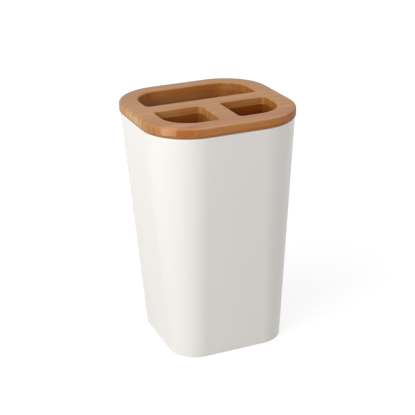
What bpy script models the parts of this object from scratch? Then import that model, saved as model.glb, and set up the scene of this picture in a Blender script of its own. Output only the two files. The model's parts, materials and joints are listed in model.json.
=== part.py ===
"""Square tumbler with a lift-off bamboo lid, for toothbrushes and a tube of paste.

Sizes are in metres. +Z is up and the origin is the middle of the base.
+X runs along the long slot, and -Y is the front, on the side of the two small openings.
"""

import math

import bmesh
import bpy

# Lid outline, and the two bamboo layers that it is glued up from
LID_WIDTH = 0.0750
LID_DEPTH = 0.0750
LID_CORNER_RADIUS = 0.0237
TOP_LAYER_THICKNESS = 0.0039
LOWER_LAYER_LIP = 0.0010
PLUG_DEPTH = 0.0060

# Openings through the lid: a long slot at the back and two small ones in front
SIDE_MARGIN = 0.0094
BACK_MARGIN = 0.0089
FRONT_MARGIN = 0.0086
BAR_WIDTH = 0.0089
STEM_WIDTH = 0.0094
OUTER_OPENING_RADIUS = 0.0140
SLOT_CORNER_RADIUS = 0.0020
SMALL_OPENING_CORNER_RADIUS = 0.0020

# Rounded edges of the lid
TOP_EDGE_ROUNDING = 0.0016
OPENING_EDGE_ROUNDING = 0.00095
LOWER_EDGE_ROUNDING = 0.0008
PLUG_LEAD_IN = 0.0010
PLUG_OPENING_ROUNDING = 0.0004

# Cup: an outline that tapers evenly from the rim to the base
CUP_HEIGHT = 0.1129
CUP_BASE_WIDTH = 0.0576
CUP_BASE_DEPTH = 0.0576
CUP_BASE_CORNER_RADIUS = 0.0137
WALL_THICKNESS = 0.0022
FLOOR_THICKNESS = 0.0028
RIM_ROUNDING = 0.0008
BASE_EDGE_ROUNDING = 0.0004
FLOOR_CORNER_RADIUS = 0.0050
FOOT_RING_WIDTH = 0.0038
FOOT_RECESS = 0.0008

# Clearances between pieces
LID_OVERHANG = 0.0005
PLUG_CLEARANCE = 0.0005
SEAT_GAP = 0.0003
GLUE_LINE = 0.0001

# Fineness of the curved surfaces
LARGE_CORNER_STEPS = 14
SMALL_CORNER_STEPS = 6
EDGE_STEPS = 4
SMOOTH_ANGLE = math.radians(40)
SMALLEST_RADIUS = 0.0001

# Colours and roughness
BAMBOO = (0.46, 0.22, 0.09, 1.0)
BAMBOO_CORE = (0.38, 0.16, 0.06, 1.0)
BAMBOO_ROUGHNESS = 0.45
WHITE_PLASTIC = (0.84, 0.82, 0.78, 1.0)
PLASTIC_ROUGHNESS = 0.37


def clear_scene():
    for item in list(bpy.data.objects):
        bpy.data.objects.remove(item, do_unlink=True)


def plain_material(name, colour, roughness):
    material = bpy.data.materials.new(name)
    material.use_nodes = True
    shader = material.node_tree.nodes["Principled BSDF"]
    shader.inputs["Base Color"].default_value = colour
    shader.inputs["Roughness"].default_value = roughness
    shader.inputs["Metallic"].default_value = 0.0
    return material


def add_object(name, shape, material, parent=None):
    """Turns a finished bmesh into a smooth-shaded object. Its heights are counted from its parent."""
    bmesh.ops.recalc_face_normals(shape, faces=shape.faces)
    mesh = bpy.data.meshes.new(name)
    shape.to_mesh(mesh)
    shape.free()
    mesh.shade_smooth()
    mesh.set_sharp_from_angle(angle=SMOOTH_ANGLE)
    mesh.materials.append(material)
    item = bpy.data.objects.new(name, mesh)
    bpy.context.scene.collection.objects.link(item)
    item.parent = parent
    return item


def quarter_turn(steps):
    return [math.radians(90 * step / steps) for step in range(steps + 1)]


def between(start, end, share):
    return start + (end - start) * share


def corner(x, y, side_x, side_y, radius, steps):
    """One corner of an outline. side_x and side_y are the signs of the directions it points in."""
    return (x - side_x * radius, y - side_y * radius, side_x, side_y, radius, steps)


def outline(corners, grow):
    """Points along corners that run anticlockwise. A positive grow moves the whole line outwards."""
    points = []
    for centre_x, centre_y, side_x, side_y, radius, steps in corners:
        reach = max(radius + grow, SMALLEST_RADIUS)
        middle = math.atan2(side_y, side_x)
        for turn in quarter_turn(steps):
            angle = middle - math.radians(45) + turn
            points.append((centre_x + reach * math.cos(angle), centre_y + reach * math.sin(angle)))
    return points


def centred_corners(width, depth, radius):
    """The corners of a rectangle about the origin, from front right round to front left."""
    signs = ((1, -1), (1, 1), (-1, 1), (-1, -1))
    steps = LARGE_CORNER_STEPS
    return [corner(sx * width / 2, sy * depth / 2, sx, sy, radius, steps) for sx, sy in signs]


def add_ring(shape, points, height):
    return [shape.verts.new((x, y, height)) for x, y in points]


def bridge(shape, rings):
    """Joins each ring of points to the next with a band of faces."""
    for lower, upper in zip(rings, rings[1:]):
        for here in range(len(lower)):
            there = (here + 1) % len(lower)
            shape.faces.new((lower[here], lower[there], upper[there], upper[here]))


def ring_edges(shape, ring):
    return [shape.edges.get(pair) for pair in zip(ring, ring[1:] + ring[:1])]


def rounded_lower_edge(radius, height):
    """Inset and height of points round an edge that starts on a flat underside at this height."""
    turns = quarter_turn(EDGE_STEPS)
    return [(radius * (1 - math.sin(turn)), height + radius * (1 - math.cos(turn))) for turn in turns]


def rounded_upper_edge(radius, height):
    """Inset and height of points round an edge that ends on a flat top at this height."""
    turns = quarter_turn(EDGE_STEPS)
    return [(radius * (1 - math.cos(turn)), height - radius * (1 - math.sin(turn))) for turn in turns]


def lid_corners():
    return centred_corners(LID_WIDTH, LID_DEPTH, LID_CORNER_RADIUS)


def cup_corners(height):
    """The corners of the cup's outer outline at a height above the base."""
    share = height / CUP_HEIGHT
    width = between(CUP_BASE_WIDTH, LID_WIDTH - 2 * LID_OVERHANG, share)
    depth = between(CUP_BASE_DEPTH, LID_DEPTH - 2 * LID_OVERHANG, share)
    radius = between(CUP_BASE_CORNER_RADIUS, LID_CORNER_RADIUS - LID_OVERHANG, share)
    return centred_corners(width, depth, radius)


def long_slot_corners():
    """The slot behind the bar. Its back corners are round and its front corners are tight."""
    side = LID_WIDTH / 2 - SIDE_MARGIN
    back = LID_DEPTH / 2 - BACK_MARGIN
    front = BAR_WIDTH / 2
    tight = (SLOT_CORNER_RADIUS, SMALL_CORNER_STEPS)
    wide = (OUTER_OPENING_RADIUS, LARGE_CORNER_STEPS)
    return [
        corner(side, front, 1, -1, *tight),
        corner(side, back, 1, 1, *wide),
        corner(-side, back, -1, 1, *wide),
        corner(-side, front, -1, -1, *tight),
    ]


def small_opening_corners(side):
    """The opening in front of the bar on one side of the stem, 1 for right and -1 for left."""
    inner = STEM_WIDTH / 2
    outer = LID_WIDTH / 2 - SIDE_MARGIN
    front = FRONT_MARGIN - LID_DEPTH / 2
    back = -BAR_WIDTH / 2
    tight = (SMALL_OPENING_CORNER_RADIUS, SMALL_CORNER_STEPS)
    wide = (OUTER_OPENING_RADIUS, LARGE_CORNER_STEPS)
    corners = [
        corner(side * outer, front, side, -1, *wide),
        corner(side * outer, back, side, 1, *tight),
        corner(side * inner, back, -side, 1, *tight),
        corner(side * inner, front, -side, -1, *tight),
    ]
    return corners if side > 0 else corners[::-1]


def add_rings(shape, corners, profile, side):
    """Rings at a profile's insets and heights. side is -1 round a solid and 1 round an opening."""
    return [add_ring(shape, outline(corners, side * inset), height) for inset, height in profile]


def pierce(shape, profile):
    """Adds the walls of the three openings, and returns their lowest and highest edges."""
    lowest = []
    highest = []
    for corners in (long_slot_corners(), small_opening_corners(1), small_opening_corners(-1)):
        rings = add_rings(shape, corners, profile, 1)
        bridge(shape, rings)
        lowest += ring_edges(shape, rings[0])
        highest += ring_edges(shape, rings[-1])
    return lowest, highest


def cap(shape, edges):
    """Fills the flat face between an outer edge and the openings' edges."""
    bmesh.ops.triangle_fill(shape, use_beauty=True, edges=edges)


def make_lid_top_layer(material, lid):
    """The upper bamboo layer, with the rounded edges that a hand meets."""
    bottom = SEAT_GAP + LOWER_LAYER_LIP + GLUE_LINE
    top = bottom + TOP_LAYER_THICKNESS
    outer_edge = [(0.0, bottom)] + rounded_upper_edge(TOP_EDGE_ROUNDING, top)
    opening_edge = [(0.0, bottom)] + rounded_upper_edge(OPENING_EDGE_ROUNDING, top)
    shape = bmesh.new()
    rings = add_rings(shape, lid_corners(), outer_edge, -1)
    bridge(shape, rings)
    lowest, highest = pierce(shape, opening_edge)
    cap(shape, lowest + ring_edges(shape, rings[0]))
    cap(shape, highest + ring_edges(shape, rings[-1]))
    return add_object("lid_top_layer", shape, material, lid)


def make_lid_lower_layer(material, lid):
    """The lower bamboo layer: a lip that rests on the rim, and a plug that drops inside it."""
    bottom = -PLUG_DEPTH
    lip = SEAT_GAP
    top = lip + LOWER_LAYER_LIP
    plug_inset = WALL_THICKNESS + PLUG_CLEARANCE
    plug_edge = rounded_lower_edge(PLUG_LEAD_IN, bottom) + [(0.0, lip)]
    plug_edge = [(plug_inset + inset, height) for inset, height in plug_edge]
    lip_edge = rounded_lower_edge(min(LOWER_EDGE_ROUNDING, LOWER_LAYER_LIP), lip)
    opening_edge = rounded_lower_edge(PLUG_OPENING_ROUNDING, bottom) + [(0.0, top)]
    shape = bmesh.new()
    rings = add_rings(shape, cup_corners(CUP_HEIGHT + bottom), plug_edge, -1)
    rings += add_rings(shape, lid_corners(), lip_edge, -1)
    bridge(shape, rings)
    lowest, highest = pierce(shape, opening_edge)
    cap(shape, lowest + ring_edges(shape, rings[0]))
    cap(shape, highest + ring_edges(shape, rings[-1]))
    return add_object("lid_lower_layer", shape, material, lid)


def cup_profile():
    """The cup's section, from inside its foot ring, up the outside and down the inside to its floor."""
    rim = min(RIM_ROUNDING, WALL_THICKNESS / 2)
    profile = [(FOOT_RING_WIDTH + FOOT_RECESS, FOOT_RECESS), (FOOT_RING_WIDTH, 0.0)]
    profile += rounded_lower_edge(BASE_EDGE_ROUNDING, 0.0)
    rim_edge = rounded_upper_edge(rim, CUP_HEIGHT)
    profile += rim_edge
    profile += [(WALL_THICKNESS - inset, height) for inset, height in reversed(rim_edge)]
    for inset, height in reversed(rounded_lower_edge(FLOOR_CORNER_RADIUS, FLOOR_THICKNESS)):
        profile.append((WALL_THICKNESS + inset, height))
    return profile


def make_cup(material):
    """The moulded tumbler, open at the top."""
    shape = bmesh.new()
    rings = []
    for inset, height in cup_profile():
        rings.append(add_ring(shape, outline(cup_corners(height), -inset), height))
    bridge(shape, rings)
    shape.faces.new(rings[0])
    shape.faces.new(rings[-1])
    return add_object("cup", shape, material)


def make_lid_axis():
    """An empty in the middle of the rim, along whose Z axis the lid lifts off."""
    axis = bpy.data.objects.new("lid_axis", None)
    bpy.context.scene.collection.objects.link(axis)
    axis.location.z = CUP_HEIGHT
    return axis


def main():
    clear_scene()
    make_cup(plain_material("white_plastic", WHITE_PLASTIC, PLASTIC_ROUGHNESS))
    lid = make_lid_axis()
    make_lid_top_layer(plain_material("bamboo", BAMBOO, BAMBOO_ROUGHNESS), lid)
    make_lid_lower_layer(plain_material("bamboo_core", BAMBOO_CORE, BAMBOO_ROUGHNESS), lid)


main()
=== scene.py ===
import json
import math
from collections import namedtuple

import bmesh
import bpy
from mathutils import Matrix, Vector

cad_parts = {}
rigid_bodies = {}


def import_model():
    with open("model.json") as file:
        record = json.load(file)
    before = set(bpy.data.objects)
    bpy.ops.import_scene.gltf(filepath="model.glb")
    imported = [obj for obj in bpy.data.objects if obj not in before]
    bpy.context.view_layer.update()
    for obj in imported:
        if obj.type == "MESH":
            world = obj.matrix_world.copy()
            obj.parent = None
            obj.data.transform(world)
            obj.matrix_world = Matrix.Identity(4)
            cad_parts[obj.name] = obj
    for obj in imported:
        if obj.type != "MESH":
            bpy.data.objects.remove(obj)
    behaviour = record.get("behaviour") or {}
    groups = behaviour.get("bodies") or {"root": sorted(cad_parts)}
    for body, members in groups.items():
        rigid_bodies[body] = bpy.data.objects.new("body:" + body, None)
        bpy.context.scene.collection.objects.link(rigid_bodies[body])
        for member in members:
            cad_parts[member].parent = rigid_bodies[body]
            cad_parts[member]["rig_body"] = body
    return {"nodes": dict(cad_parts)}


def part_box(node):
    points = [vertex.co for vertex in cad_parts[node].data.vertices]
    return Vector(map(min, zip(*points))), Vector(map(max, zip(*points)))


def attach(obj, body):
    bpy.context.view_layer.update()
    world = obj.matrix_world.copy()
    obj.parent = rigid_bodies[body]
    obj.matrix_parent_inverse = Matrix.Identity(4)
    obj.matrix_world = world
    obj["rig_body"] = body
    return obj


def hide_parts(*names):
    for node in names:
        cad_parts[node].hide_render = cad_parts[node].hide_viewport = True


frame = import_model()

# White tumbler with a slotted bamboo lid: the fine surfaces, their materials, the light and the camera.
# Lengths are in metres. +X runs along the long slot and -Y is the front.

# Boxes of the fixed frame, which the fine surfaces keep to
RIM_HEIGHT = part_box("cup")[1].z
LID_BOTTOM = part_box("lid_lower_layer")[0].z
TOP_LOW, TOP_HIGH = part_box("lid_top_layer")
LID_HALF = TOP_HIGH.x

# Lid outline and openings. The margins are the widths of the frame round the openings.
LID_CORNER_RADIUS = 0.0237
SIDE_MARGIN = 0.0094
BACK_MARGIN = 0.0089
FRONT_MARGIN = 0.0086
BAR_WIDTH = 0.0089
STEM_WIDTH = 0.0094
OUTER_OPENING_RADIUS = 0.0140
SLOT_CORNER_RADIUS = 0.0020
SMALL_OPENING_CORNER_RADIUS = 0.0020

# Rounded edges of the lid, the glue line between its layers, and its fit in the cup
TOP_EDGE_ROUNDING = 0.0016
OPENING_EDGE_ROUNDING = 0.00095
LOWER_EDGE_ROUNDING = 0.0008
GLUE_EDGE_ROUNDING = 0.00003
GLUE_LINE = 0.00002
PLUG_LEAD_IN = 0.0010
PLUG_OPENING_ROUNDING = 0.0004
SEAT_GAP = 0.0003
PLUG_CLEARANCE = 0.0005

# Cup
CUP_BASE_HALF = 0.0288
CUP_BASE_CORNER_RADIUS = 0.0137
LID_OVERHANG = 0.0005
WALL_THICKNESS = 0.0022
FLOOR_THICKNESS = 0.0028
RIM_ROUNDING = 0.0008
BASE_EDGE_ROUNDING = 0.0004
FLOOR_CORNER_RADIUS = 0.0050
FOOT_RING_WIDTH = 0.0038
FOOT_RECESS = 0.0008

# Fineness of the curved surfaces, and how far large faces rule the shading of the edges beside them
LARGE_CORNER_STEPS = 40
SMALL_CORNER_STEPS = 16
EDGE_STEPS = 8
GLUE_EDGE_STEPS = 3
SMALLEST_RADIUS = 0.00005
SHARP_ANGLE = math.radians(50)
LARGE_FACE_WEIGHT = 100

# Signs for the two sides of the lid, and for insets into an outline or away from it
RIGHT, LEFT = 1, -1
INTO, AWAY = -1, 1

# Bamboo. Its texture is solid and is laid out in millimetres, with the fibres along X.
MM_PER_METRE = 1000.0
STRIP_WIDTH_MM = 6.1
SEAM_HALF_WIDTH_MM = 0.09
PALE_MIDDLE_MM = 2.4
FIBRE_WAVE_MM = 0.5

# The two boards. Their strips' tones go from 0, dark, to 1, pale, and are listed from the front strip back:
# near the left ends of the strips, and beyond. The shades are painted shade that multiplies a board's
# colours on its left and right.
Board = namedtuple("Board", "first_seam_mm left_end_tones tones left_shade right_shade")
TOP_BOARD = Board(
    first_seam_mm=-33.0,
    left_end_tones=(0.00, 0.85, 0.13, 0.22, 0.55, 0.95, 0.85, 0.65, 0.45, 0.45, 0.20, 0.25, 0.30),
    tones=(0.50, 0.20, 0.45, 0.50, 0.50, 0.52, 0.65, 0.30, 0.40, 0.35, 0.35, 0.40, 0.50),
    left_shade=(1.0, 1.0, 1.0),
    right_shade=(1.0, 1.0, 1.0),
)
# The lower board's darkest strips lie behind the back walls of the small openings. There they are partly
# strip tone and partly painted shade. Its shades are painted shade on its walls inside the openings, darker
# towards the right.
LOWER_TONES = (1.00, 0.70, 0.60, 0.60, 0.50, 0.00, 0.00, 0.50, 0.70, 0.75, 0.90, 1.00, 1.00)
LOWER_BOARD = Board(
    first_seam_mm=-35.5,
    left_end_tones=LOWER_TONES,
    tones=LOWER_TONES,
    left_shade=(0.76, 0.64, 0.61),
    right_shade=(0.71, 0.54, 0.38),
)

# Stretches along X, in millimetres, over which the tones of the strips' left ends give way to the others,
# the colours of the left cut ends to those of the right ones, and a board's left painted shade to its right
# one
LEFT_STRETCH_MM = (-24.0, -12.0)
DARKENING_MM = (-37.0, 20.0)
RIGHT_STRETCH_MM = (4.0, 16.0)

# Heights in millimetres between which painted shade darkens the bamboo downwards, inside the openings
PAINTED_DEPTH_STRETCH_MM = (113.0, 109.0)

# Grain: the clouds to a millimetre along each axis, and the detail of each pattern
WAVE_CLOUDS = ((0.022, 0.03, 0.03), 1.0)
LAYER_CLOUDS = ((0.012, 0.75, 0.07), 2.0)
STREAK_CLOUDS = ((0.03, 2.6, 2.0), 3.0)
FIBRE_CLOUDS = ((0.12, 9.0, 9.0), 2.0)
BUNDLES_PER_MM = (0.02, 1.3, 1.3)

# Ends of the range that each pattern is read over. A bundle is read from its rim in to its core.
BROAD_CLOUD_RANGE = (0.3, 0.7)
FINE_CLOUD_RANGE = (0.25, 0.75)
BUNDLE_RANGE = (0.30, 0.12)

# What the patterns add to a tone: the first at a strip's seams and in its middle, the others at most
STRIP_TONES = (-0.16, 0.06)
LAYER_TONE = 0.16
STREAK_TONE = 0.22
FIBRE_TONE = 0.16

# Colours of bamboo at its darkest and its palest: on flat faces, on rounded edges, where they carry a
# painted highlight, on long sides and on cut ends
FLAT_COLOURS = ((0.41, 0.185, 0.063), (0.495, 0.247, 0.103))
PAINTED_EDGE_HIGHLIGHT_COLOURS = ((0.475, 0.240, 0.100), (0.565, 0.315, 0.165))
SIDE_COLOURS = ((0.39, 0.115, 0.018), (0.51, 0.238, 0.073))
LEFT_END_COLOURS = ((0.385, 0.142, 0.036), (0.57, 0.345, 0.155))
RIGHT_END_COLOURS = ((0.30, 0.100, 0.018), (0.42, 0.180, 0.045))

# Colour of the dark bundles and the glue lines, and how strongly each shows
MARK_COLOUR = (0.24, 0.075, 0.010)
BUNDLE_STRENGTH = 0.22
SEAM_STRENGTH = 0.3

# What multiplies those colours: painted shade on walls that face right, painted shade deep in the openings,
# and the hue from strip to strip
PAINTED_RIGHT_FACING_SHADE = (0.78, 0.76, 0.78)
PAINTED_DEPTH_SHADE = (0.70, 0.66, 0.62)
YELLOWISH = (0.985, 1.035, 0.86)
PINKISH = (1.015, 0.965, 1.18)
STRIP_HUE_SEED = 8228.0

# How far a surface faces along an axis, from 0 to 1, where one colour begins to give way to another and
# where it has given way: along X for the first three, and along Z for the last two
SIDE_TO_END = (0.45, 0.95)
# Where painted shade sets in on walls that face right
TURNED_RIGHT = (0.30, 0.90)
EDGE_TO_END_EDGE = (0.15, 0.60)
WALL_TO_EDGE = (0.25, 0.60)
EDGE_TO_FLAT = (0.80, 0.99)

# Finish of the bamboo: its roughness in dark and in pale streaks, and its relief
BAMBOO_ROUGHNESS = (0.50, 0.38)
BAMBOO_SPECULAR = 0.2
FIBRE_RELIEF = 0.5
BUNDLE_RELIEF = 0.4
BAMBOO_RELIEF_DEPTH = 0.000012

# Moulded plastic: its colour and roughness over the broad flow, its fine skin and its slight waves
FLOW_CLOUDS = ((0.05, 0.05, 0.018), 2.0)
SKIN_CLOUDS = ((5.0, 5.0, 5.0), 3.0)
SWELL_CLOUDS = ((0.16, 0.16, 0.09), 1.0)
SKIN_RANGE = (0.2, 0.8)
PLASTIC_COLOURS = ((0.84, 0.811, 0.775), (0.83, 0.801, 0.76))
PLASTIC_ROUGHNESS = (0.34, 0.40)
SKIN_ROUGHNESS = (0.0, 0.05)
SKIN_RELIEF = 0.05
PLASTIC_RELIEF_DEPTH = 0.00003

# Lamps. At a strength of 1 a lamp lights a white surface that faces it to white.
LAMP_DISTANCE = 0.9
LAMP_DIAMETER = 0.5
LAMP_AIM_HEIGHT = 0.06
LAMPS = (
    # name, degrees round from the front towards the right, degrees up, strength
    ("key", -60, 30, 0.398),
    ("left_fill", -90, 30, 0.265),
    ("front_fill", -30, 8, 0.180),
    ("right_fill", 90, 30, 0.215),
)

# Light from all round, as it falls on surfaces and as the camera sees it
SKY_STRENGTH = 0.50
SEEN_STRENGTH = 1.0

# Floor
FLOOR_SIZE = 6.0
FLOOR_DROP = 0.0001
FLOOR_COLOUR = (0.4, 0.4, 0.4)
# Glow of the floor as the camera sees it, near the object and far from it, and the distances between
FLOOR_GLOW = (0.68, 0.80)
FLOOR_GLOW_REACH = (0.02, 0.36)

# Camera, found from the outlines of the lid and the cup in the photograph. Its angles are in degrees.
IMAGE_SIZE = 415
FOCAL_LENGTH_PIXELS = 1099.6
SENSOR_WIDTH_MM = 36.0
CAMERA_AZIMUTH = -22.05
CAMERA_ELEVATION = 21.80
CAMERA_ROLL = -1.62
CAMERA_DISTANCE = 0.5372
AIM_BELOW_TOP = 0.0539
AIM_SIDEWAYS = -0.0008


# Outlines and profiles

def quarter_turn(steps):
    return [math.radians(90 * step / steps) for step in range(steps + 1)]


def between(start, end, share):
    return start + (end - start) * share


def corner(x, y, side_x, side_y, radius, steps):
    """A rounded corner whose sides would meet at x, y. It points the way that the two signs say."""
    return (x - side_x * radius, y - side_y * radius, side_x, side_y, radius, steps)


def outline(corners, grow):
    """Points along corners that run anticlockwise. A positive grow moves the whole line outwards."""
    points = []
    for centre_x, centre_y, side_x, side_y, radius, steps in corners:
        reach = max(radius + grow, SMALLEST_RADIUS)
        middle = math.atan2(side_y, side_x)
        for turn in quarter_turn(steps):
            angle = middle - math.radians(45) + turn
            points.append((centre_x + reach * math.cos(angle), centre_y + reach * math.sin(angle)))
    return points


def square_corners(half, radius):
    """The corners of a square about the origin, from front right round to front left."""
    signs = ((1, -1), (1, 1), (-1, 1), (-1, -1))
    return [corner(sx * half, sy * half, sx, sy, radius, LARGE_CORNER_STEPS) for sx, sy in signs]


def rounded_lower_edge(radius, height, steps=EDGE_STEPS):
    """Inset and height of points round an edge that starts on a flat underside at this height."""
    turns = quarter_turn(steps)
    return [(radius * (1 - math.sin(turn)), height + radius * (1 - math.cos(turn))) for turn in turns]


def rounded_upper_edge(radius, height, steps=EDGE_STEPS):
    """Inset and height of points round an edge that ends on a flat top at this height."""
    turns = quarter_turn(steps)
    return [(radius * (1 - math.cos(turn)), height - radius * (1 - math.sin(turn))) for turn in turns]


# Surfaces

def add_ring(shape, points, height):
    return [shape.verts.new((x, y, height)) for x, y in points]


def add_rings(shape, corners, profile, side):
    """Rings at a profile's insets and heights: INTO the outline of a solid, AWAY from an opening's."""
    return [add_ring(shape, outline(corners, side * inset), height) for inset, height in profile]


def bridge(shape, rings):
    """Joins each ring of points to the next with a band of faces."""
    for lower, upper in zip(rings, rings[1:]):
        for here in range(len(lower)):
            there = (here + 1) % len(lower)
            shape.faces.new((lower[here], lower[there], upper[there], upper[here]))


def ring_edges(shape, ring):
    return [shape.edges.get(pair) for pair in zip(ring, ring[1:] + ring[:1])]


def cap(shape, edges):
    """Fills the flat face between an outer edge and the openings' edges."""
    bmesh.ops.triangle_fill(shape, use_beauty=True, edges=edges)


def add_piece(name, shape, material, node):
    """Turns a finished bmesh into a smooth piece that stands for a node of the frame."""
    bmesh.ops.recalc_face_normals(shape, faces=shape.faces)
    mesh = bpy.data.meshes.new(name)
    shape.to_mesh(mesh)
    shape.free()
    mesh.shade_smooth()
    mesh.set_sharp_from_angle(angle=SHARP_ANGLE)
    mesh.materials.append(material)
    piece = bpy.data.objects.new(name, mesh)
    bpy.context.scene.collection.objects.link(piece)
    shading = piece.modifiers.new("even_shading", "WEIGHTED_NORMAL")
    shading.keep_sharp = True
    shading.weight = LARGE_FACE_WEIGHT
    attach(piece, frame["nodes"][node]["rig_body"])
    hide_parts(node)


# The lid and the cup

def lid_corners():
    return square_corners(LID_HALF, LID_CORNER_RADIUS)


def cup_corners(height):
    """The corners of the cup's outer outline at a height above the base."""
    share = height / RIM_HEIGHT
    half = between(CUP_BASE_HALF, LID_HALF - LID_OVERHANG, share)
    radius = between(CUP_BASE_CORNER_RADIUS, LID_CORNER_RADIUS - LID_OVERHANG, share)
    return square_corners(half, radius)


def long_slot_corners():
    """The slot behind the bar. Its back corners are round and its front corners are tight."""
    side = LID_HALF - SIDE_MARGIN
    back = LID_HALF - BACK_MARGIN
    front = BAR_WIDTH / 2
    tight = (SLOT_CORNER_RADIUS, SMALL_CORNER_STEPS)
    wide = (OUTER_OPENING_RADIUS, LARGE_CORNER_STEPS)
    return [
        corner(side, front, 1, -1, *tight),
        corner(side, back, 1, 1, *wide),
        corner(-side, back, -1, 1, *wide),
        corner(-side, front, -1, -1, *tight),
    ]


def small_opening_corners(side):
    """The opening in front of the bar, on the RIGHT or the LEFT of the stem."""
    inner = STEM_WIDTH / 2
    outer = LID_HALF - SIDE_MARGIN
    front = FRONT_MARGIN - LID_HALF
    back = -BAR_WIDTH / 2
    tight = (SMALL_OPENING_CORNER_RADIUS, SMALL_CORNER_STEPS)
    wide = (OUTER_OPENING_RADIUS, LARGE_CORNER_STEPS)
    corners = [
        corner(side * outer, front, side, -1, *wide),
        corner(side * outer, back, side, 1, *tight),
        corner(side * inner, back, -side, 1, *tight),
        corner(side * inner, front, -side, -1, *tight),
    ]
    # On the left they are mirrored, so their order is turned round to run anticlockwise
    return corners if side == RIGHT else corners[::-1]


def pierce(shape, profile):
    """Adds the walls of the three openings, and returns their lowest and highest edges."""
    lowest = []
    highest = []
    for corners in (long_slot_corners(), small_opening_corners(RIGHT), small_opening_corners(LEFT)):
        rings = add_rings(shape, corners, profile, AWAY)
        bridge(shape, rings)
        lowest += ring_edges(shape, rings[0])
        highest += ring_edges(shape, rings[-1])
    return lowest, highest


def close_board(shape, rings, opening_edge):
    """Makes a layer of the lid from its outer rings: its walls, its openings and its two flat faces."""
    bridge(shape, rings)
    lowest, highest = pierce(shape, opening_edge)
    cap(shape, lowest + ring_edges(shape, rings[0]))
    cap(shape, highest + ring_edges(shape, rings[-1]))


def make_lid_top(material):
    """The upper bamboo layer, with the rounded edges that a hand meets."""
    glue_edge = rounded_lower_edge(GLUE_EDGE_ROUNDING, TOP_LOW.z, GLUE_EDGE_STEPS)
    outer_edge = glue_edge + rounded_upper_edge(TOP_EDGE_ROUNDING, TOP_HIGH.z)
    opening_edge = glue_edge + rounded_upper_edge(OPENING_EDGE_ROUNDING, TOP_HIGH.z)
    shape = bmesh.new()
    rings = add_rings(shape, lid_corners(), outer_edge, INTO)
    close_board(shape, rings, opening_edge)
    add_piece("lid_top_board", shape, material, "lid_top_layer")


def make_lid_lower(material):
    """The lower bamboo layer: a lip that rests on the rim, and a plug that drops inside it."""
    lip = RIM_HEIGHT + SEAT_GAP
    glue_edge = rounded_upper_edge(GLUE_EDGE_ROUNDING, TOP_LOW.z - GLUE_LINE, GLUE_EDGE_STEPS)
    plug_inset = WALL_THICKNESS + PLUG_CLEARANCE
    plug_edge = rounded_lower_edge(PLUG_LEAD_IN, LID_BOTTOM) + [(0.0, lip)]
    plug_edge = [(plug_inset + inset, height) for inset, height in plug_edge]
    lip_edge = rounded_lower_edge(LOWER_EDGE_ROUNDING, lip) + glue_edge
    opening_edge = rounded_lower_edge(PLUG_OPENING_ROUNDING, LID_BOTTOM) + glue_edge
    shape = bmesh.new()
    rings = add_rings(shape, cup_corners(LID_BOTTOM), plug_edge, INTO)
    rings += add_rings(shape, lid_corners(), lip_edge, INTO)
    close_board(shape, rings, opening_edge)
    add_piece("lid_lower_board", shape, material, "lid_lower_layer")


def cup_profile():
    """The cup's section, from inside its foot ring, up the outside and down the inside to its floor."""
    profile = [(FOOT_RING_WIDTH + FOOT_RECESS, FOOT_RECESS), (FOOT_RING_WIDTH, 0.0)]
    profile += rounded_lower_edge(BASE_EDGE_ROUNDING, 0.0)
    rim_edge = rounded_upper_edge(RIM_ROUNDING, RIM_HEIGHT)
    profile += rim_edge
    profile += [(WALL_THICKNESS - inset, height) for inset, height in reversed(rim_edge)]
    for inset, height in reversed(rounded_lower_edge(FLOOR_CORNER_RADIUS, FLOOR_THICKNESS)):
        profile.append((WALL_THICKNESS + inset, height))
    return profile


def make_cup(material):
    """The moulded tumbler, open at the top."""
    shape = bmesh.new()
    rings = []
    for inset, height in cup_profile():
        rings.append(add_ring(shape, outline(cup_corners(height), -inset), height))
    bridge(shape, rings)
    shape.faces.new(rings[0])
    shape.faces.new(rings[-1])
    add_piece("cup_shell", shape, material, "cup")


# Shader nodes

# The sockets with which the mix node mixes colours
MIX_SHARE, MIX_FIRST, MIX_SECOND = 0, 6, 7
MIX_RESULT = 2


def put(tree, kind, inputs, **settings):
    """Adds a node. Each input is a plain value or the output that feeds it."""
    node = tree.nodes.new(kind)
    for name, value in settings.items():
        setattr(node, name, value)
    for socket, value in inputs.items():
        if isinstance(value, bpy.types.NodeSocket):
            tree.links.new(value, node.inputs[socket])
        else:
            node.inputs[socket].default_value = value
    return node


def maths(tree, operation, first, second=0.0):
    return put(tree, "ShaderNodeMath", {0: first, 1: second}, operation=operation).outputs[0]


def vector_maths(tree, operation, first, second):
    return put(tree, "ShaderNodeVectorMath", {0: first, 1: second}, operation=operation).outputs[0]


def axes(tree, vector):
    """The parts of a vector along X, Y and Z."""
    return tuple(put(tree, "ShaderNodeSeparateXYZ", {0: vector}).outputs)


def noise(tree, place, clouds):
    """Cloudy values from 0 to 1. A pair gives the clouds to a millimetre on each axis and their detail."""
    density, detail = clouds
    inputs = {"Vector": vector_maths(tree, "MULTIPLY", place, density), "Scale": 1.0, "Detail": detail}
    return put(tree, "ShaderNodeTexNoise", inputs).outputs[0]


def remapped(tree, value, old, new):
    """Carries a range of values over to another, with soft ends."""
    inputs = {0: value, 1: old[0], 2: old[1], 3: new[0], 4: new[1]}
    return put(tree, "ShaderNodeMapRange", inputs, interpolation_type="SMOOTHSTEP").outputs[0]


def fade(tree, value, ends):
    """Runs from 0 to 1 as a value goes from one end of its range to the other."""
    return remapped(tree, value, ends, (0.0, 1.0))


def swing(tree, value, ends, reach):
    """Runs from -reach to reach as a value goes from one end of its range to the other."""
    return remapped(tree, value, ends, (-reach, reach))


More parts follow.
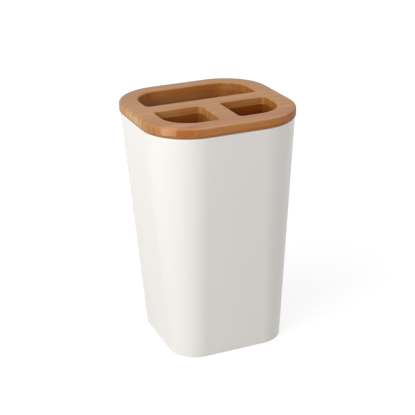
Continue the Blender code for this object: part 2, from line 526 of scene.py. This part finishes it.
def mixed(tree, share, first, second, mode="MIX"):
    """One colour over another. A plain colour is given as three numbers."""
    pair = [(*colour, 1.0) if isinstance(colour, tuple) else colour for colour in (first, second)]
    inputs = {MIX_SHARE: share, MIX_FIRST: pair[0], MIX_SECOND: pair[1]}
    return put(tree, "ShaderNodeMix", inputs, data_type="RGBA", blend_type=mode).outputs[MIX_RESULT]


def shaded(tree, colour, shade, share=1.0):
    """A colour multiplied by another, wholly or in part."""
    return mixed(tree, share, colour, shade, mode="MULTIPLY")


def stepped_ramp(tree, value, tones):
    """Turns a value from 0 to 1 into one of a row of equally wide tones."""
    node = put(tree, "ShaderNodeValToRGB", {0: value})
    ramp = node.color_ramp
    ramp.interpolation = "CONSTANT"
    # A new ramp has two tones
    for _ in tones[2:]:
        ramp.elements.new(1.0)
    for index, tone in enumerate(tones):
        ramp.elements[index].position = index / len(tones)
        ramp.elements[index].color = (tone, tone, tone, 1.0)
    return node.outputs[0]


def bumped(tree, height, depth):
    """The surface normal under a relief of this depth in metres."""
    return put(tree, "ShaderNodeBump", {"Height": height, "Distance": depth, "Strength": 1.0}).outputs[0]


def new_material(name):
    """A material with its shader, its coordinates in millimetres and the direction that it faces."""
    material = bpy.data.materials.new(name)
    material.use_nodes = True
    tree = material.node_tree
    coordinates = put(tree, "ShaderNodeTexCoord", {})
    place = vector_maths(tree, "MULTIPLY", coordinates.outputs["Object"], (MM_PER_METRE,) * 3)
    return material, tree.nodes["Principled BSDF"], place, coordinates.outputs["Normal"]


# Bamboo

# A spot of the surface: its place along and across the fibres and its height, how far it faces right, to
# either side and up or down, and how far it is a cut end
Spot = namedtuple("Spot", "along across height rightward sideways level endwise")

# The grain at a spot: layers of denser fibre, streaks, single fibres, and the dark bundles that end as dots
Grain = namedtuple("Grain", "layers streaks fibres bundles")


def wavered(tree, place):
    """Lets the fibres drift slowly to and fro along their length."""
    drift = swing(tree, noise(tree, place, WAVE_CLOUDS), BROAD_CLOUD_RANGE, FIBRE_WAVE_MM)
    shift = put(tree, "ShaderNodeCombineXYZ", {1: drift, 2: drift}).outputs[0]
    return vector_maths(tree, "ADD", place, shift)


def read_spot(tree, place, normal):
    along, across, height = axes(tree, place)
    rightward, _, upward = axes(tree, normal)
    sideways = maths(tree, "ABSOLUTE", rightward)
    level = maths(tree, "ABSOLUTE", upward)
    return Spot(along, across, height, rightward, sideways, level, fade(tree, sideways, SIDE_TO_END))


def read_grain(tree, place):
    inputs = {"Vector": vector_maths(tree, "MULTIPLY", place, BUNDLES_PER_MM), "Scale": 1.0}
    cells = put(tree, "ShaderNodeTexVoronoi", inputs)
    return Grain(
        layers=noise(tree, place, LAYER_CLOUDS),
        streaks=noise(tree, place, STREAK_CLOUDS),
        fibres=noise(tree, place, FIBRE_CLOUDS),
        bundles=fade(tree, cells.outputs["Distance"], BUNDLE_RANGE),
    )


def strip_pattern(tree, board, spot):
    """The tone and the hue of the strip at a spot, and how strongly a glue line shows there."""
    front = board.first_seam_mm - STRIP_WIDTH_MM
    counted = maths(tree, "DIVIDE", maths(tree, "SUBTRACT", spot.across, front), STRIP_WIDTH_MM)
    share = maths(tree, "DIVIDE", counted, float(len(board.tones)))
    left_end_tone = stepped_ramp(tree, share, board.left_end_tones)
    tone = stepped_ramp(tree, share, board.tones)
    tone = mixed(tree, fade(tree, spot.along, LEFT_STRETCH_MM), left_end_tone, tone)

    # The count is whole at each seam, so its distance from a whole number is the distance to a seam
    to_seam = maths(tree, "MULTIPLY", maths(tree, "PINGPONG", counted, 0.5), STRIP_WIDTH_MM)
    tone = maths(tree, "ADD", tone, remapped(tree, to_seam, (0.0, PALE_MIDDLE_MM), STRIP_TONES))
    seam = remapped(tree, to_seam, (SEAM_HALF_WIDTH_MM, 0.0), (0.0, SEAM_STRENGTH))
    number = maths(tree, "ADD", maths(tree, "FLOOR", counted), STRIP_HUE_SEED)
    hue = put(tree, "ShaderNodeTexWhiteNoise", {"W": number}, noise_dimensions="1D").outputs["Value"]
    return tone, hue, seam


def grained(tree, tone, grain, spot):
    """Adds the grain to a tone. The layers show twice as strongly on a cut end."""
    layers = swing(tree, grain.layers, BROAD_CLOUD_RANGE, LAYER_TONE)
    tone = maths(tree, "ADD", tone, maths(tree, "MULTIPLY", layers, maths(tree, "ADD", spot.endwise, 1.0)))
    tone = maths(tree, "ADD", tone, swing(tree, grain.streaks, FINE_CLOUD_RANGE, STREAK_TONE))
    return maths(tree, "ADD", tone, swing(tree, grain.fibres, FINE_CLOUD_RANGE, FIBRE_TONE))


def wall_colour(tree, tone, spot):
    """The colour of the upright faces: long sides, and cut ends, which darken towards the right, with
    painted shade on walls that face right.
    """
    left_end = mixed(tree, tone, *LEFT_END_COLOURS)
    right_end = mixed(tree, tone, *RIGHT_END_COLOURS)
    end = mixed(tree, fade(tree, spot.along, DARKENING_MM), left_end, right_end)
    wall = mixed(tree, spot.endwise, mixed(tree, tone, *SIDE_COLOURS), end)
    # Painted shade: walls that face right are darkened as if turned from the light
    return shaded(tree, wall, PAINTED_RIGHT_FACING_SHADE, fade(tree, spot.rightward, TURNED_RIGHT))


def surface_colour(tree, tone, spot):
    """The colour by the way that the surface faces: a wall, a rounded edge with a painted highlight, or a
    flat face.
    """
    flat = mixed(tree, tone, *FLAT_COLOURS)
    edge = mixed(tree, tone, *PAINTED_EDGE_HIGHLIGHT_COLOURS)
    # Rounded edges that face the ends take the flat colour instead of the painted highlight
    edge = mixed(tree, fade(tree, spot.sideways, EDGE_TO_END_EDGE), edge, flat)
    colour = mixed(tree, fade(tree, spot.level, WALL_TO_EDGE), wall_colour(tree, tone, spot), edge)
    return mixed(tree, fade(tree, spot.level, EDGE_TO_FLAT), colour, flat)


def marked(tree, colour, grain, seam):
    """Adds the dark bundles and the glue lines."""
    colour = mixed(tree, maths(tree, "MULTIPLY", grain.bundles, BUNDLE_STRENGTH), colour, MARK_COLOUR)
    return mixed(tree, seam, colour, MARK_COLOUR)


def board_shaded(tree, colour, board, hue, spot):
    """Adds the board's painted shades, the painted shade deeper in the openings and the hue of each strip.
    """
    # Painted shade of the board, from its left shade to its right one
    to_right = fade(tree, spot.along, RIGHT_STRETCH_MM)
    colour = shaded(tree, colour, mixed(tree, to_right, board.left_shade, board.right_shade))
    # Painted shade, darker downwards inside the openings
    colour = shaded(tree, colour, PAINTED_DEPTH_SHADE, fade(tree, spot.height, PAINTED_DEPTH_STRETCH_MM))
    return shaded(tree, colour, mixed(tree, hue, YELLOWISH, PINKISH))


def finish_bamboo(tree, shader, grain, seam):
    """A sanded and oiled finish: uneven gloss, raised fibres, and sunken bundles and glue lines."""
    roughness = remapped(tree, grain.streaks, FINE_CLOUD_RANGE, BAMBOO_ROUGHNESS)
    tree.links.new(roughness, shader.inputs["Roughness"])
    shader.inputs["Specular IOR Level"].default_value = BAMBOO_SPECULAR
    raised = maths(tree, "MULTIPLY", grain.fibres, FIBRE_RELIEF)
    sunken = maths(tree, "MULTIPLY", grain.bundles, BUNDLE_RELIEF)
    relief = maths(tree, "SUBTRACT", maths(tree, "SUBTRACT", raised, sunken), seam)
    tree.links.new(bumped(tree, relief, BAMBOO_RELIEF_DEPTH), shader.inputs["Normal"])


def bamboo_material(name, board):
    """Strips of bamboo glued side by side."""
    material, shader, place, normal = new_material(name)
    tree = material.node_tree
    place = wavered(tree, place)
    spot = read_spot(tree, place, normal)
    grain = read_grain(tree, place)
    tone, hue, seam = strip_pattern(tree, board, spot)
    tone = grained(tree, tone, grain, spot)
    colour = surface_colour(tree, tone, spot)
    colour = marked(tree, colour, grain, seam)
    colour = board_shaded(tree, colour, board, hue, spot)
    tree.links.new(colour, shader.inputs["Base Color"])
    finish_bamboo(tree, shader, grain, seam)
    return material


# Plastic

def plastic_material():
    """Satin white moulded plastic, a little uneven in tone and gloss as mouldings are."""
    material, shader, place, _ = new_material("cup_plastic")
    tree = material.node_tree
    flow = noise(tree, place, FLOW_CLOUDS)
    skin = noise(tree, place, SKIN_CLOUDS)
    swell = noise(tree, place, SWELL_CLOUDS)
    colour = mixed(tree, fade(tree, flow, BROAD_CLOUD_RANGE), *PLASTIC_COLOURS)
    tree.links.new(colour, shader.inputs["Base Color"])
    roughness = remapped(tree, flow, BROAD_CLOUD_RANGE, PLASTIC_ROUGHNESS)
    roughness = maths(tree, "ADD", roughness, remapped(tree, skin, SKIN_RANGE, SKIN_ROUGHNESS))
    tree.links.new(roughness, shader.inputs["Roughness"])
    relief = maths(tree, "ADD", maths(tree, "MULTIPLY", skin, SKIN_RELIEF), swell)
    tree.links.new(bumped(tree, relief, PLASTIC_RELIEF_DEPTH), shader.inputs["Normal"])
    return material


# Floor, light and camera

def seen_directly(tree):
    """1 for what the camera sees, also by reflection or through something, and 0 for light on surfaces."""
    path = put(tree, "ShaderNodeLightPath", {})
    seen = maths(tree, "MAXIMUM", path.outputs["Is Camera Ray"], path.outputs["Is Glossy Ray"])
    return maths(tree, "MAXIMUM", seen, path.outputs["Is Transmission Ray"])


def floor_material():
    """Pale paper that the camera sees as white, but for the object's shadow."""
    material = bpy.data.materials.new("floor_paper")
    material.use_nodes = True
    tree = material.node_tree
    tree.nodes.remove(tree.nodes["Principled BSDF"])
    paper = put(tree, "ShaderNodeBsdfDiffuse", {"Color": (*FLOOR_COLOUR, 1.0)})
    place = put(tree, "ShaderNodeTexCoord", {}).outputs["Object"]
    distance = put(tree, "ShaderNodeVectorMath", {0: place}, operation="LENGTH").outputs["Value"]
    strength = remapped(tree, distance, FLOOR_GLOW_REACH, FLOOR_GLOW)
    strength = maths(tree, "MULTIPLY", seen_directly(tree), strength)
    glow = put(tree, "ShaderNodeEmission", {"Strength": strength})
    both = put(tree, "ShaderNodeAddShader", {0: paper.outputs[0], 1: glow.outputs[0]})
    tree.links.new(both.outputs[0], tree.nodes["Material Output"].inputs["Surface"])
    return material


def make_floor():
    bpy.ops.mesh.primitive_plane_add(size=FLOOR_SIZE)
    floor = bpy.context.object
    floor.name = "floor"
    floor.location.z = -FLOOR_DROP
    floor.data.materials.append(floor_material())


def make_world():
    """Even white light from all round, seen by the camera as a white background."""
    world = bpy.data.worlds.new("studio")
    world.use_nodes = True
    tree = world.node_tree
    difference = SEEN_STRENGTH - SKY_STRENGTH
    strength = maths(tree, "ADD", maths(tree, "MULTIPLY", seen_directly(tree), difference), SKY_STRENGTH)
    background = tree.nodes["Background"]
    background.inputs["Color"].default_value = (1.0, 1.0, 1.0, 1.0)
    tree.links.new(strength, background.inputs["Strength"])
    bpy.context.scene.world = world


def direction(azimuth, elevation):
    """The unit vector towards a place so many degrees round from the front, towards the right, and up."""
    turn, rise = math.radians(azimuth), math.radians(elevation)
    level = math.cos(rise)
    return Vector((math.sin(turn) * level, -math.cos(turn) * level, math.sin(rise)))


def make_lamp(name, azimuth, elevation, strength):
    light = bpy.data.lights.new(name, "AREA")
    light.shape = "DISK"
    light.size = LAMP_DIAMETER
    light.energy = strength * (math.pi * LAMP_DISTANCE) ** 2
    lamp = bpy.data.objects.new(name, light)
    bpy.context.scene.collection.objects.link(lamp)
    towards = direction(azimuth, elevation)
    lamp.location = Vector((0.0, 0.0, LAMP_AIM_HEIGHT)) + towards * LAMP_DISTANCE
    lamp.rotation_euler = towards.to_track_quat("Z", "Y").to_euler()
    lamp.visible_camera = False


def make_camera():
    """Looks at the object from the photograph's viewpoint, with its slight lean."""
    azimuth, roll = math.radians(CAMERA_AZIMUTH), math.radians(CAMERA_ROLL)
    back = direction(CAMERA_AZIMUTH, CAMERA_ELEVATION)
    sideways = Vector((math.cos(azimuth), math.sin(azimuth), 0.0))
    upwards = back.cross(sideways)
    right = sideways * math.cos(roll) + upwards * math.sin(roll)
    up = upwards * math.cos(roll) - sideways * math.sin(roll)
    lens = bpy.data.cameras.new("camera")
    lens.sensor_width = SENSOR_WIDTH_MM
    lens.lens = FOCAL_LENGTH_PIXELS / IMAGE_SIZE * SENSOR_WIDTH_MM
    camera = bpy.data.objects.new("camera", lens)
    bpy.context.scene.collection.objects.link(camera)
    target = sideways * AIM_SIDEWAYS + Vector((0.0, 0.0, TOP_HIGH.z - AIM_BELOW_TOP))
    placed = Matrix((right, up, back)).transposed().to_4x4()
    placed.translation = target + back * CAMERA_DISTANCE
    camera.matrix_world = placed
    bpy.context.scene.camera = camera


def main():
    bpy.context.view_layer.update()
    make_cup(plastic_material())
    make_lid_top(bamboo_material("bamboo", TOP_BOARD))
    make_lid_lower(bamboo_material("bamboo_core", LOWER_BOARD))
    make_camera()
    make_floor()
    make_world()
    for lamp in LAMPS:
        make_lamp(*lamp)
    bpy.context.scene.view_settings.view_transform = "Standard"


main()
